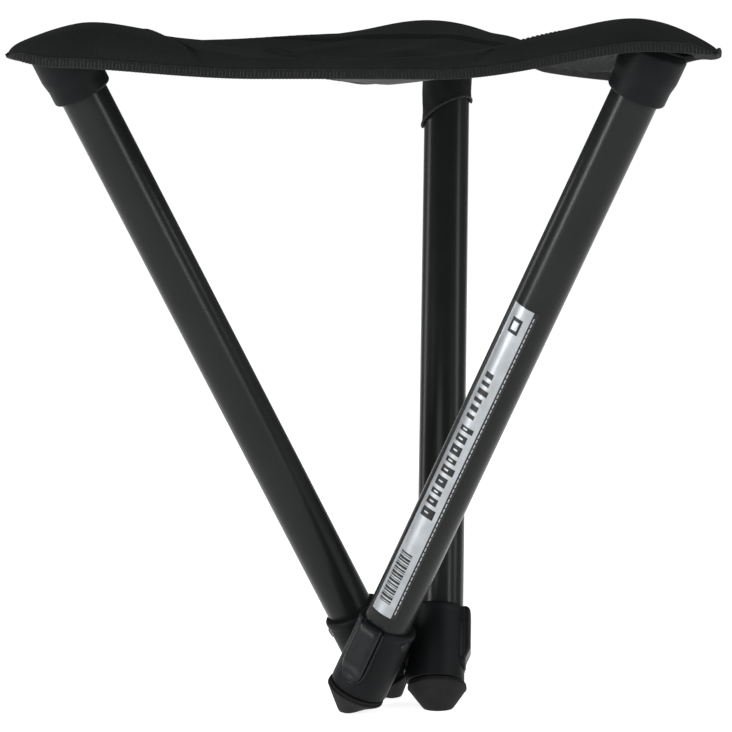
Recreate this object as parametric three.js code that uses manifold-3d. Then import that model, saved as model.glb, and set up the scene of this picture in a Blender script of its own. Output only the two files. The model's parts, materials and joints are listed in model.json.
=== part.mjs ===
// Folding three leg stool: three crossing telescopic legs that hinge on one hub near the floor, under a
// triangular sling seat. Millimetres, +Z up. The stool is built about its own upright axis, one leg at a
// time, and moved at the end so that the origin is the middle of its footprint.
import * as THREE from "three";
import { mergeVertices } from "three/addons/utils/BufferGeometryUtils.js";
import { ConvexGeometry } from "three/addons/geometries/ConvexGeometry.js";
import Module from "manifold-3d";

const wasm = await Module();
wasm.setup();

// ---- driving dimensions -------------------------------------------------------------------------------
const GAP = 0.3; // between pieces that touch
const ROUND = 24; // sides of a turned piece

const LEG_TILT = THREE.MathUtils.degToRad(28.2); // from the vertical, when open
const HINGE_RADIUS = 25.8; // stool axis to the nearest point of a leg's axis
const HINGE_HEIGHT = 26.8; // of the hub above the floor
const CORNERS = { right: -30, left: 210, rear: 90 }; // directions of the seat's corners, degrees

const TUBE_R = 13; // outer leg tube
const TUBE_WALL = 1;
const INNER_R = 11; // sliding leg tube
const INNER_WALL = 1;
const TUBE_BOTTOM = 15; // along the leg from the hinge
const TUBE_TOP = 376;
const INNER_BOTTOM = -20;
const INNER_TOP = 318;

const COLLAR_R = 16.1;
const COLLAR_OFFSET = -2.1; // the collar sits this far towards the hub from the tube
const COLLAR_BOTTOM = -15;
const COLLAR_TOP = 28;
const BOSS_R = 8; // round face of the collar that turns against the hub
const PIN_R = 2.7;
const PIN_HEAD_R = 4.2;
const HUB_FACE = 6.5; // stool axis to each of the hub's three faces
const HUB_HALF_HEIGHT = 9;

const BUTTON_WIDTH = 14;
const BUTTON_LENGTH = 28.5;
const BUTTON_FACE = 17.5; // from the leg's axis
const BUTTON_BACK = 14.2;
const BUTTON_LAND = 12.7; // flat of the collar under the button
const STEM_R = 2.4;
const STEM_HEIGHT = 8; // along the leg

const CAP_BOTTOM = 358.5;
const CAP_R = 16;
const CAP_FLARE_R = 17.2;
const RIVET_R = 1.8;
const RIVET_HEAD_R = 3;

const FLANGE_R = 16.1; // of the rubber foot
const FLANGE_TOP = -15.4;
const FLANGE_HEIGHT = 2.6;
const SOLE_HALF_WIDTH = 8;

const SEAT_TIP_R = 219; // stool axis to the tip of a corner
const SEAT_TOP = 380.5;
const SEAT_HEM = 357; // underside of the hem at the corners
const SEAT_SPLIT_R = 157; // where a corner pocket meets its panel
const SEAT_EDGE_R = 111; // stool axis to the middle of an edge
const SEAT_CENTRE_TOP = 352;

const LABEL_BOTTOM = 33.5;
const LABEL_LENGTH = 197;
const LABEL_HALF_ANGLE = THREE.MathUtils.degToRad(42);

// ---- finishes -----------------------------------------------------------------------------------------
const finish = (color, roughness, metalness) => () =>
  new THREE.MeshStandardMaterial({ color, roughness, metalness });
const painted = finish(0x2b2d2c, 0.38, 0.6);
const bare = finish(0xb4b6b8, 0.3, 0.9);
const moulded = finish(0x1f2022, 0.5, 0);
const rubber = finish(0x262626, 0.85, 0);
const woven = finish(0x1c1d1d, 0.95, 0);
const steel = finish(0x8a8c8e, 0.35, 0.9);
const foil = finish(0xc3c6c8, 0.4, 0.6);

// ---- solids -------------------------------------------------------------------------------------------
function solidOf(geometry) {
  const positions = geometry.clone();
  positions.deleteAttribute("normal");
  positions.deleteAttribute("uv");
  const merged = mergeVertices(positions, 1e-4);
  return new wasm.Manifold(
    new wasm.Mesh({
      numProp: 3,
      vertProperties: new Float32Array(merged.attributes.position.array),
      triVerts: new Uint32Array(merged.index.array),
    }),
  );
}

function geometryOf(solid) {
  const mesh = solid.getMesh();
  const geometry = new THREE.BufferGeometry();
  geometry.setAttribute("position", new THREE.BufferAttribute(mesh.vertProperties, 3));
  geometry.setIndex(new THREE.BufferAttribute(mesh.triVerts, 1));
  geometry.computeVertexNormals();
  return geometry;
}

const join = (...pieces) => geometryOf(pieces.map(solidOf).reduce((a, b) => a.add(b)));
const cut = (body, ...tools) => geometryOf(tools.map(solidOf).reduce((a, b) => a.subtract(b), solidOf(body)));

// A solid turned about Z from [radius, height] pairs.
const turned = (profile, sides = ROUND) =>
  new THREE.LatheGeometry(profile.map(([r, z]) => new THREE.Vector2(r, z)), sides).rotateX(Math.PI / 2);

const ring = (inner, outer, low, high) =>
  turned([[outer, low], [outer, high], [inner, high], [inner, low], [outer, low]]);

const rod = (radius, low, high, sides = ROUND) =>
  new THREE.CylinderGeometry(radius, radius, high - low, sides).rotateX(Math.PI / 2)
    .translate(0, 0, (low + high) / 2);

// A rod that points outward from the leg's axis at a height, turned by an angle from the hinge's direction.
const spoke = (radius, low, high, height, angle = 0, sides = 12) =>
  rod(radius, low, high, sides).rotateY(Math.PI / 2).rotateZ(angle).translate(0, 0, height);

const block = (x0, x1, y0, y1, z0, z1) =>
  new THREE.BoxGeometry(x1 - x0, y1 - y0, z1 - z0)
    .translate((x0 + x1) / 2, (y0 + y1) / 2, (z0 + z1) / 2);

// Points on a level circle, for the corners of a convex solid.
const circle = (x, y, z, rx, ry = rx, count = 16) =>
  Array.from({ length: count }, (_, i) => {
    const a = (2 * Math.PI * i) / count;
    return new THREE.Vector3(x + rx * Math.cos(a), y + ry * Math.sin(a), z);
  });

const hull = (...groups) => new ConvexGeometry(groups.flat());

// ---- frames -------------------------------------------------------------------------------------------
// A leg's pieces are drawn in two frames. "Along" has its origin at the hinge, X along the hinge outward and
// Z up the leg. "Upright" has its origin under the hub on the floor, X the same way and Z up.
const alongToUpright = new THREE.Matrix4()
  .makeTranslation(HINGE_RADIUS, 0, HINGE_HEIGHT)
  .multiply(new THREE.Matrix4().makeRotationX(-LEG_TILT));

// The leg leans past the stool axis, so its top lies in another direction than its hinge.
const TOP_RUN = (TUBE_TOP - 4) * Math.sin(LEG_TILT);
const TOP_R = Math.hypot(TOP_RUN, HINGE_RADIUS);
const CORNER_TURN = Math.atan2(TOP_RUN, HINGE_RADIUS);

const along = (geometry) => geometry.clone().applyMatrix4(alongToUpright);
const towardsCorner = (geometry) => geometry.clone().rotateZ(CORNER_TURN);

// ---- leg pieces, in the "along" frame -----------------------------------------------------------------
const outerTube = () =>
  cut(
    ring(TUBE_R - TUBE_WALL, TUBE_R, TUBE_BOTTOM, TUBE_TOP),
    spoke(RIVET_R + GAP, 8, 18, 22, Math.PI / 2),
    spoke(RIVET_R + GAP, 8, 18, CAP_BOTTOM + 8, -Math.PI / 2),
  );

// The sliding tube has a latch hole for each end of its travel.
const LEG_TRAVEL = 250;
const innerTube = () =>
  cut(
    ring(INNER_R - INNER_WALL, INNER_R, INNER_BOTTOM, INNER_TOP),
    spoke(3, 6, 16, STEM_HEIGHT),
    spoke(3, 6, 16, STEM_HEIGHT + LEG_TRAVEL),
  );

// Moulded bush on the upper end of the sliding tube, running in the outer tube.
const glideBush = () =>
  turned([
    [INNER_R - INNER_WALL - GAP, INNER_TOP - 14],
    [INNER_R - INNER_WALL - GAP, INNER_TOP + GAP],
    [TUBE_R - TUBE_WALL - GAP, INNER_TOP + GAP],
    [TUBE_R - TUBE_WALL - GAP, INNER_TOP + 10],
    [7, INNER_TOP + 10],
    [7, INNER_TOP - 14],
    [INNER_R - INNER_WALL - GAP, INNER_TOP - 14],
  ]);

// Bent spring strip inside the sliding tube, with the stud that clicks into the latch hole.
const snapPin = () =>
  join(
    block(7, 7.7, -3, 3, STEM_HEIGHT - 6, STEM_HEIGHT + 26),
    block(-7.7, -7, -3, 3, STEM_HEIGHT - 6, STEM_HEIGHT + 26),
    block(-7.7, 7.7, -3, 3, STEM_HEIGHT + 25.3, STEM_HEIGHT + 26),
    spoke(2.4, 7.2, 10.1, STEM_HEIGHT),
  );

const collar = () => {
  const shell = rod(COLLAR_R, COLLAR_BOTTOM, COLLAR_TOP, 32).translate(COLLAR_OFFSET, 0, 0);
  const boss = spoke(BOSS_R, 12, HINGE_RADIUS - HUB_FACE - GAP, 0, Math.PI, 20);
  return cut(
    join(shell, boss),
    rod(INNER_R + GAP, COLLAR_BOTTOM - 1, COLLAR_TOP + 1),
    rod(TUBE_R + GAP, TUBE_BOTTOM - GAP, COLLAR_TOP + 1),
    block(BUTTON_LAND, 20, -9, 9, -2.5, COLLAR_TOP + 1),
    spoke(STEM_R + GAP, 8, 20, STEM_HEIGHT),
    spoke(PIN_R + GAP, 8, 22, 0, Math.PI),
    spoke(PIN_HEAD_R + GAP, 8, 13.6, 0, Math.PI),
    spoke(RIVET_R + GAP, 8, 20, 22, Math.PI / 2),
    spoke(RIVET_HEAD_R + GAP, 14.8, 20, 22, Math.PI / 2),
  );
};

const collarRivet = () =>
  join(spoke(RIVET_R, 11.7, 15.2, 22, Math.PI / 2), spoke(RIVET_HEAD_R, 15.1, 16.3, 22, Math.PI / 2));

const capRivet = () =>
  join(
    spoke(RIVET_R, 11, 16.2, CAP_BOTTOM + 8, -Math.PI / 2),
    spoke(RIVET_HEAD_R, 16.1, 17.2, CAP_BOTTOM + 8, -Math.PI / 2),
  );

// The hinge pin is put in from inside the collar, so that its head stays clear of the sliding tube.
const hubPin = () =>
  join(spoke(PIN_HEAD_R, 11.7, 13.3, 0, Math.PI), spoke(PIN_R, 13.2, HINGE_RADIUS - 2.4, 0, Math.PI));

// Long oval push button with a stem through the collar.
const releaseButton = () => {
  const half = BUTTON_WIDTH / 2;
  const top = COLLAR_TOP - GAP - half;
  const bottom = COLLAR_TOP - GAP - BUTTON_LENGTH + half;
  const outline = new THREE.Shape();
  outline.absarc(top, 0, half, -Math.PI / 2, Math.PI / 2, false);
  outline.absarc(bottom, 0, half, Math.PI / 2, (3 * Math.PI) / 2, false);
  const pad = new THREE.ExtrudeGeometry(outline, {
    depth: BUTTON_FACE - BUTTON_BACK - 2,
    curveSegments: 8,
    bevelThickness: 1,
    bevelSize: 1,
    bevelOffset: -1,
    bevelSegments: 1,
  });
  // The outline's X runs up the leg, and its depth outward.
  const turn = new THREE.Matrix4().makeBasis(
    new THREE.Vector3(0, 0, 1),
    new THREE.Vector3(0, 1, 0),
    new THREE.Vector3(-1, 0, 0),
  );
  pad.applyMatrix4(turn).translate(BUTTON_FACE - 1, 0, 0);
  return cut(
    join(pad, spoke(STEM_R, 11.6, BUTTON_BACK + 1, STEM_HEIGHT)),
    block(0, BUTTON_BACK, -9, 9, STEM_HEIGHT + STEM_R + 0.1, 40),
    block(0, BUTTON_BACK, -9, 9, -9, STEM_HEIGHT - STEM_R - 0.1),
  );
};

// Dished spring washer under the button.
const buttonSpring = () =>
  turned([[5.2, 0], [5.2, 0.35], [3.2, 0.85], [3.2, 0.5], [5.2, 0]], 16)
    .rotateY(Math.PI / 2)
    .translate(BUTTON_LAND + GAP, 0, STEM_HEIGHT);

const labelPlate = () => {
  const inner = TUBE_R + 0.15;
  const outer = TUBE_R + 0.4;
  const outline = new THREE.Shape();
  outline.absarc(0, 0, outer, -LABEL_HALF_ANGLE, LABEL_HALF_ANGLE, false);
  outline.absarc(0, 0, inner, LABEL_HALF_ANGLE, -LABEL_HALF_ANGLE, true);
  return new THREE.ExtrudeGeometry(outline, { depth: LABEL_LENGTH, bevelEnabled: false, curveSegments: 10 })
    .translate(0, 0, LABEL_BOTTOM);
};

// ---- leg pieces, in the "upright" frame ---------------------------------------------------------------
// Rubber foot: a flange square to the leg, and a body that narrows to a level sole right under it. The sole
// rises a little towards the outside of the stool.
const foot = () => {
  const low = FLANGE_TOP - FLANGE_HEIGHT;
  const flange = along(rod(FLANGE_R, low, FLANGE_TOP).translate(-1, 0, 0));
  const underFlange = circle(-1, 0, low + 0.1, FLANGE_R - 0.6, FLANGE_R - 0.6, ROUND)
    .map((p) => p.applyMatrix4(alongToUpright));
  const middle = (FLANGE_TOP * Math.sin(LEG_TILT)) - 1;
  const sole = circle(HINGE_RADIUS - 0.5, middle - 3.5, 0, SOLE_HALF_WIDTH, 6);
  const toe = circle(HINGE_RADIUS - 0.5, middle + 3.5, 2, SOLE_HALF_WIDTH - 0.5, 7);
  const socket = along(rod(INNER_R + GAP, INNER_BOTTOM - GAP, 5));
  return cut(join(flange, hull(underFlange, sole, toe)), socket);
};

// Cap on the leg's top: a sleeve over the tube and a narrow nose that holds the seat's corner out.
const noseHull = (grow) => {
  const top = SEAT_TOP - 2.6 + grow;
  return towardsCorner(
    hull(
      circle(TOP_R, 0, SEAT_HEM + 1, 13 + grow),
      circle(TOP_R - 2, 0, top - 4, 9.5 + grow),
      circle(TOP_R - 2, 0, top, 6 + grow),
      circle(SEAT_TIP_R - 16, 0, SEAT_HEM + 3.5 - grow, 7 + grow),
      circle(SEAT_TIP_R - 16, 0, SEAT_HEM + 9 + grow, 6 + grow),
    ),
  );
};

const CAP_TOP = TUBE_TOP + 6;
const sleeveHull = (grow) =>
  along(
    turned([
      [0, CAP_BOTTOM],
      [CAP_R - 0.5 + grow, CAP_BOTTOM],
      [CAP_R + grow, CAP_BOTTOM + 1.2],
      [CAP_R + grow, CAP_BOTTOM + 9],
      [CAP_FLARE_R + grow, CAP_BOTTOM + 17],
      [CAP_FLARE_R - 3 + grow, CAP_TOP + grow],
      [0, CAP_TOP + grow],
    ]),
  );

const topCap = () =>
  cut(
    join(sleeveHull(0), noseHull(0)),
    along(rod(TUBE_R + GAP, CAP_BOTTOM - 1, TUBE_TOP + GAP)),
    along(spoke(RIVET_R + GAP, 10, 18, CAP_BOTTOM + 8, -Math.PI / 2)),
    along(spoke(RIVET_HEAD_R + GAP, 15.8, 20, CAP_BOTTOM + 8, -Math.PI / 2)),
  );

// Sewn corner pocket of the seat, drawn over the cap.
const seatCorner = () => {
  const shell = towardsCorner(
    hull(
      [
        new THREE.Vector3(SEAT_SPLIT_R, 43, SEAT_HEM + 1),
        new THREE.Vector3(SEAT_SPLIT_R, -43, SEAT_HEM + 1),
        new THREE.Vector3(SEAT_SPLIT_R, 43, SEAT_HEM + 10),
        new THREE.Vector3(SEAT_SPLIT_R, -43, SEAT_HEM + 10),
        new THREE.Vector3(SEAT_SPLIT_R, 20, SEAT_TOP - 2),
        new THREE.Vector3(SEAT_SPLIT_R, -20, SEAT_TOP - 2),
      ],
      circle(TOP_R - 3, 0, SEAT_TOP, 10, 14),
      circle(SEAT_TIP_R - 12, 0, SEAT_HEM + 1.5, 10, 12),
      circle(SEAT_TIP_R - 12, 0, SEAT_HEM + 11, 9, 11),
      circle(SEAT_TIP_R - 12, 0, SEAT_HEM + 6, 12, 14),
    ),
  );
  const opening = along(rod(CAP_FLARE_R + 1, CAP_BOTTOM - 12, CAP_BOTTOM + 17.5));
  const inside = along(rod(CAP_FLARE_R + GAP, CAP_BOTTOM + 6, CAP_BOTTOM + 17.5));
  return cut(shell, noseHull(GAP), sleeveHull(GAP), opening, inside);
};

// A third of the sling, from its corner to the seat's centre and to the middles of two edges.
const seatPanel = () => {
  const corner = SEAT_SPLIT_R - 2 * GAP;
  const edge = Math.PI / 3;
  const reach = SEAT_EDGE_R;
  const back = 2 * GAP;
  const outline = [
    [back, 0, SEAT_CENTRE_TOP - 7, SEAT_CENTRE_TOP],
    [reach * Math.cos(edge) + back, reach * Math.sin(edge) - back / 2, SEAT_HEM - 2, SEAT_HEM + 8],
    [reach * Math.cos(edge) + back, -reach * Math.sin(edge) + back / 2, SEAT_HEM - 2, SEAT_HEM + 8],
    [corner, 42.5, SEAT_HEM + 1, SEAT_HEM + 10],
    [corner, -42.5, SEAT_HEM + 1, SEAT_HEM + 10],
    [corner, 20, SEAT_HEM + 6, SEAT_TOP - 2],
    [corner, -20, SEAT_HEM + 6, SEAT_TOP - 2],
  ];
  return towardsCorner(
    hull(outline.flatMap(([x, y, low, high]) => [new THREE.Vector3(x, y, low), new THREE.Vector3(x, y, high)])),
  );
};

// ---- hub, about the stool axis ------------------------------------------------------------------------
// Three-sided block whose faces look at the three hinges, with its corners cut off.
const hubBlock = (turn) => {
  const outline = new THREE.Shape();
  for (let i = 0; i < 3; i++) {
    for (const side of [-1, 1]) {
      const a = turn + (i * 2 * Math.PI) / 3;
      const across = side * HUB_FACE * 1.15;
      const x = HUB_FACE * Math.cos(a) - across * Math.sin(a);
      const y = HUB_FACE * Math.sin(a) + across * Math.cos(a);
      if (i === 0 && side === -1) outline.moveTo(x, y);
      else outline.lineTo(x, y);
    }
  }
  const body = new THREE.ExtrudeGeometry(outline, { depth: 2 * HUB_HALF_HEIGHT, bevelEnabled: false })
    .translate(0, 0, HINGE_HEIGHT - HUB_HALF_HEIGHT);
  const holes = [0, 1, 2].map((i) =>
    rod(PIN_R + GAP, 2, 12, 12).rotateY(Math.PI / 2).rotateZ(turn + (i * 2 * Math.PI) / 3)
      .translate(0, 0, HINGE_HEIGHT),
  );
  return cut(body, ...holes);
};

// ---- assembly -----------------------------------------------------------------------------------------
const PIECES = {
  outer_tube: [along(outerTube()), painted],
  inner_tube: [along(innerTube()), bare],
  glide_bush: [along(glideBush()), moulded],
  snap_pin: [along(snapPin()), steel],
  collar: [along(collar()), moulded],
  collar_rivet: [along(collarRivet()), steel],
  hub_pin: [along(hubPin()), steel],
  release_button: [along(releaseButton()), moulded],
  button_spring: [along(buttonSpring()), steel],
  foot: [foot(), rubber],
  top_cap: [topCap(), moulded],
  cap_rivet: [along(capRivet()), steel],
  seat_corner: [seatCorner(), woven],
  seat_panel: [seatPanel(), woven],
};

function named(name, geometry, material) {
  const mesh = new THREE.Mesh(geometry, material());
  mesh.name = name;
  return mesh;
}

const stool = new THREE.Group();
for (const [side, degrees] of Object.entries(CORNERS)) {
  const leg = new THREE.Group();
  leg.rotation.z = THREE.MathUtils.degToRad(degrees) - CORNER_TURN;
  for (const [name, [geometry, material]] of Object.entries(PIECES)) {
    leg.add(named(`${name}_${side}`, geometry, material));
  }
  if (side === "right") leg.add(named("label", along(labelPlate()), foil));
  stool.add(leg);
}
stool.add(named("hub_block", hubBlock(THREE.MathUtils.degToRad(CORNERS.rear) - CORNER_TURN), moulded));

const box = new THREE.Box3().setFromObject(stool, true);
const centre = box.getCenter(new THREE.Vector3());
stool.position.set(-centre.x, -centre.y, -box.min.z);

export default stool;
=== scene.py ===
import json
import math

import bpy
import numpy as np
from bpy.props import FloatProperty, FloatVectorProperty, IntProperty, PointerProperty, StringProperty
from mathutils import Matrix, Vector


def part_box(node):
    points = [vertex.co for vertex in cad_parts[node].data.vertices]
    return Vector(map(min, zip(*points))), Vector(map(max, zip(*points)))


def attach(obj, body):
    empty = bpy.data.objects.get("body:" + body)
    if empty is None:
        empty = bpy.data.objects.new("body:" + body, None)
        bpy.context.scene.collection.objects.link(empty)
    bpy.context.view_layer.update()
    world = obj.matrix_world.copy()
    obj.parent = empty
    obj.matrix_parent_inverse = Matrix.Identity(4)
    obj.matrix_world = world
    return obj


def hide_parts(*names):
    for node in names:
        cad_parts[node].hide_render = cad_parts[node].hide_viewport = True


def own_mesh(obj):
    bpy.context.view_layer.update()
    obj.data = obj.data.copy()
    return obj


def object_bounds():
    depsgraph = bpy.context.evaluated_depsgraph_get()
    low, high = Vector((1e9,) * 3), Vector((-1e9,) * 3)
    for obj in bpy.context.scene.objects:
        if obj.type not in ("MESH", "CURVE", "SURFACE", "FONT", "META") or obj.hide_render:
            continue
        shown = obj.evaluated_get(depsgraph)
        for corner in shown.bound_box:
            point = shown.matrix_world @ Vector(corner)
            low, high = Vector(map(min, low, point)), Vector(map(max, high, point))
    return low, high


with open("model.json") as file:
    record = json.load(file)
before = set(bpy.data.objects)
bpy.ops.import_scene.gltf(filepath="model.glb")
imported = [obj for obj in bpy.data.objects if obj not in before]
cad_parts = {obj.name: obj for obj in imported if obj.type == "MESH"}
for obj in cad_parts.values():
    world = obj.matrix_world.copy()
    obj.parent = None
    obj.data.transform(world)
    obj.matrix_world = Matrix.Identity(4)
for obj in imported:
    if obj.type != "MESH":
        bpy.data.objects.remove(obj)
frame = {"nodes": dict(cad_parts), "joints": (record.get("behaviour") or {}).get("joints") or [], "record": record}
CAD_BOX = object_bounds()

bl_info = {
    "name": "Folding three leg stool",
    "version": (1, 0, 0),
    "blender": (4, 5, 0),
    "location": "3D View > Sidebar > Stool",
    "description": "Builds the visible pieces of a folding stool around its packed frame",
    "category": "Add Mesh",
}

SIDES = ("right", "left", "rear")
MM = 0.001
JOINTS = {joint["name"]: joint for joint in frame["joints"]}


# ---- places taken from the frame ----------------------------------------------------------------------

def hinge_point(side):
    return np.array(JOINTS["fold_" + side]["pos_m"])


UP = np.array((0, 0, 1.0))
AXIS = np.mean([hinge_point(side) for side in SIDES], axis=0) * (1, 1, 0)  # the stool's upright axis


class Leg:
    """A leg's own frame: x outward along its hinge, z up the tube, with its origin on the hinge."""

    def __init__(self, side):
        self.side = side
        self.origin = hinge_point(side)
        self.x = np.array(JOINTS["fold_" + side]["axis"])
        self.z = -np.array(JOINTS["extend_" + side]["axis"])
        self.y = np.cross(self.z, self.x)
        self.matrix = Matrix.Identity(4)
        for column, vector in enumerate((self.x, self.y, self.z, self.origin)):
            for row in range(3):
                self.matrix[row][column] = vector[row]
        top = np.array(JOINTS["panel_" + side]["pos_m"]) - AXIS
        self.top = top + AXIS
        self.corner = top * (1, 1, 0) / np.hypot(top[0], top[1])
        self.across = np.array((-self.corner[1], self.corner[0], 0))

    def span(self, node):
        """Lowest and highest place of a node along the tube."""
        lows = [self.along(vertex.co) for vertex in frame["nodes"][node].data.vertices]
        return min(lows), max(lows)

    def along(self, point):
        return float((np.array(point) - self.origin) @ self.z)

    def radius(self, node):
        """Greatest distance of a node from the tube's axis."""
        points = np.array([vertex.co for vertex in frame["nodes"][node].data.vertices]) - self.origin
        return float(np.hypot(points @ self.x, points @ self.y).max())


LEGS = {side: Leg(side) for side in SIDES}


# ---- mesh helpers -------------------------------------------------------------------------------------

def new_object(name, points, faces, materials, matrix=None, smooth=True, slots=None):
    mesh = bpy.data.meshes.new(name)
    mesh.from_pydata([tuple(point) for point in points], [], [tuple(face) for face in faces])
    for material in materials:
        mesh.materials.append(material)
    if slots is not None:
        mesh.polygons.foreach_set("material_index", np.asarray(slots, np.int32))
    if matrix is not None:
        mesh.transform(matrix)
    mesh.update()
    mesh.validate()
    piece = bpy.data.objects.new(name, mesh)
    bpy.context.scene.collection.objects.link(piece)
    if smooth:
        mesh.shade_smooth()
        mesh.set_sharp_from_angle(angle=math.radians(38))
    return piece


def turned(profile, sides=96, centre=(0, 0)):
    """Points and faces of a closed [radius, height] outline turned about z."""
    rings = np.array(profile, float)
    angles = full_turn(sides)
    points = [(centre[0] + r * math.cos(a), centre[1] + r * math.sin(a), z) for r, z in rings for a in angles]
    faces = []
    count = len(rings)
    for i in range(count):
        j = (i + 1) % count
        for s in range(sides):
            t = (s + 1) % sides
            faces.append((i * sides + s, i * sides + t, j * sides + t, j * sides + s))
    return points, faces


def rounded(points, radius, steps=4):
    """A closed outline with its corners rounded off, each by up to the given radius."""
    outline = []
    corners = [np.array(p, float) for p in points]
    for i, corner in enumerate(corners):
        before, after = corners[i - 1] - corner, corners[(i + 1) % len(corners)] - corner
        reach = min(radius, 0.45 * np.linalg.norm(before), 0.45 * np.linalg.norm(after))
        start = corner + before / np.linalg.norm(before) * reach
        end = corner + after / np.linalg.norm(after) * reach
        for t in np.linspace(0, 1, steps + 1):
            outline.append((1 - t) ** 2 * start + 2 * t * (1 - t) * corner + t * t * end)
    return outline


def lofted(rings, close_start=True, close_end=True):
    """Points and faces through rings that have the same number of points."""
    size = len(rings[0])
    points = [tuple(p) for ring in rings for p in ring]
    faces = []
    for i in range(len(rings) - 1):
        for s in range(size):
            t = (s + 1) % size
            faces.append((i * size + s, i * size + t, (i + 1) * size + t, (i + 1) * size + s))
    if close_start:
        faces.append(tuple(range(size - 1, -1, -1)))
    if close_end:
        last = (len(rings) - 1) * size
        faces.append(tuple(range(last, last + size)))
    return points, faces


def ease(x):
    """0 to 1 with a level start and end."""
    x = np.clip(x, 0, 1)
    return x * x * (3 - 2 * x)


def merged(parts):
    """Points and faces of several closed parts as one mesh."""
    points, faces = [], []
    for part, part_faces in parts:
        faces += [tuple(len(points) + i for i in face) for face in part_faces]
        points += part
    return points, faces


def turn_round(faces):
    """The same faces, seen from their other side."""
    return [tuple(reversed(face)) for face in faces]


def full_turn(count):
    return np.linspace(0, 2 * math.pi, count, endpoint=False)


def ring_round(centre, first, second, radius, sides):
    """Points round a centre, in the plane of two directions."""
    return [centre + (first * math.cos(a) + second * math.sin(a)) * radius for a in full_turn(sides)]


def corner_points():
    """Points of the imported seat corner, as distances from the stool's axis towards the corner."""
    vertices = frame["nodes"]["seat_corner_right"].data.vertices
    return [(np.array(vertex.co) - AXIS) @ LEGS["right"].corner for vertex in vertices]


def apply_modifiers(piece):
    """Leaves the piece with the mesh that its modifiers make."""
    evaluated = piece.evaluated_get(bpy.context.evaluated_depsgraph_get())
    mesh = bpy.data.meshes.new_from_object(evaluated)
    piece.modifiers.clear()
    piece.data = mesh
    return piece


def boolean_cut(piece, cutter):
    modifier = piece.modifiers.new("cut", "BOOLEAN")
    modifier.operation = "DIFFERENCE"
    modifier.solver = "EXACT"
    modifier.object = cutter
    apply_modifiers(piece)
    bpy.data.objects.remove(cutter)
    return piece


def soften_edges(piece, width, segments=3, angle=30):
    """Rounds the sharp edges and shades the rest smooth."""
    modifier = piece.modifiers.new("soften", "BEVEL")
    modifier.width = width
    modifier.segments = segments
    modifier.limit_method = "ANGLE"
    modifier.angle_limit = math.radians(angle)
    modifier.harden_normals = False
    apply_modifiers(piece)
    piece.data.shade_smooth()
    piece.data.set_sharp_from_angle(angle=math.radians(50))
    return piece


# ---- materials ----------------------------------------------------------------------------------------

def linear(colour):
    """An sRGB hex colour as linear RGBA."""
    channels = [int(colour[i:i + 2], 16) / 255 for i in (1, 3, 5)]
    return [c / 12.92 if c <= 0.04045 else ((c + 0.055) / 1.055) ** 2.4 for c in channels] + [1.0]


def add_node(tree, kind, settings=None, links=None):
    """Adds a node. Settings go to its attributes or, where the name is a socket's, to the socket."""
    node = tree.nodes.new(kind)
    for name, value in (settings or {}).items():
        if isinstance(name, int):
            node.inputs[name].default_value = value
        elif hasattr(node, name):
            setattr(node, name, value)
        else:
            node.inputs[name].default_value = value
    for name, source in (links or {}).items():
        tree.links.new(source, node.inputs[name])
    return node


def new_material(name, base, roughness, metallic=0.0, **sockets):
    material = bpy.data.materials.new(name)
    material.use_nodes = True
    tree = material.node_tree
    shader = tree.nodes["Principled BSDF"]
    shader.inputs["Base Color"].default_value = linear(base)
    shader.inputs["Roughness"].default_value = roughness
    shader.inputs["Metallic"].default_value = metallic
    material.diffuse_color = linear(base)
    for socket, value in sockets.items():
        shader.inputs[socket.replace("_", " ")].default_value = value
    return material, tree, shader


def vary_colour(tree, shader, factor, base, dark=1.0, light=1.7):
    """Blends between two shades of a base colour, given as multiples of its light."""
    mix = add_node(tree, "ShaderNodeMix", {"data_type": "RGBA"}, {0: factor})
    for socket, share in ((6, dark), (7, light)):
        mix.inputs[socket].default_value = [channel * share for channel in linear(base)[:3]] + [1.0]
    tree.links.new(mix.outputs[2], shader.inputs["Base Color"])


def vary_roughness(tree, shader, factor, low, high):
    span = add_node(tree, "ShaderNodeMapRange", {"To Min": low, "To Max": high}, {"Value": factor})
    tree.links.new(span.outputs[0], shader.inputs["Roughness"])


def bump(tree, shader, height, strength, distance):
    node = add_node(tree, "ShaderNodeBump", {"Strength": strength, "Distance": distance}, {"Height": height})
    tree.links.new(node.outputs["Normal"], shader.inputs["Normal"])


def noise(tree, scale, detail, stretch=(1, 1, 1)):
    """A noise factor that is fixed to the piece's own coordinates."""
    place = add_node(tree, "ShaderNodeTexCoord")
    spot = add_node(tree, "ShaderNodeMapping", {"Scale": stretch}, {"Vector": place.outputs["Object"]})
    settings = {"Scale": scale, "Detail": detail}
    return add_node(tree, "ShaderNodeTexNoise", settings, {"Vector": spot.outputs[0]}).outputs["Fac"]


def black_anodised_aluminium(colours):
    # Drawn tube, etched and dyed black: a satin grey-black with a broad soft highlight and a fine grain.
    _, tree, shader = new_material("black_anodised_aluminium", colours.tube, 0.3, Specular_IOR_Level=0.14)
    grain = noise(tree, 1400.0, 3.0)
    vary_colour(tree, shader, noise(tree, 28.0, 4.0), colours.tube)
    vary_roughness(tree, shader, grain, 0.2, 0.3)
    bump(tree, shader, grain, 0.1, 0.0002)


def drawn_aluminium(colours):
    # Bare tube with a light hard-anodised coat: brighter, with faint lines along its length.
    _, tree, shader = new_material("drawn_aluminium", colours.inner_tube, 0.3, 0.9)
    lines = noise(tree, 900.0, 2.0, (1, 1, 0.05))
    vary_roughness(tree, shader, lines, 0.24, 0.42)
    vary_colour(tree, shader, lines, colours.inner_tube, 1.0, 1.66)


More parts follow.
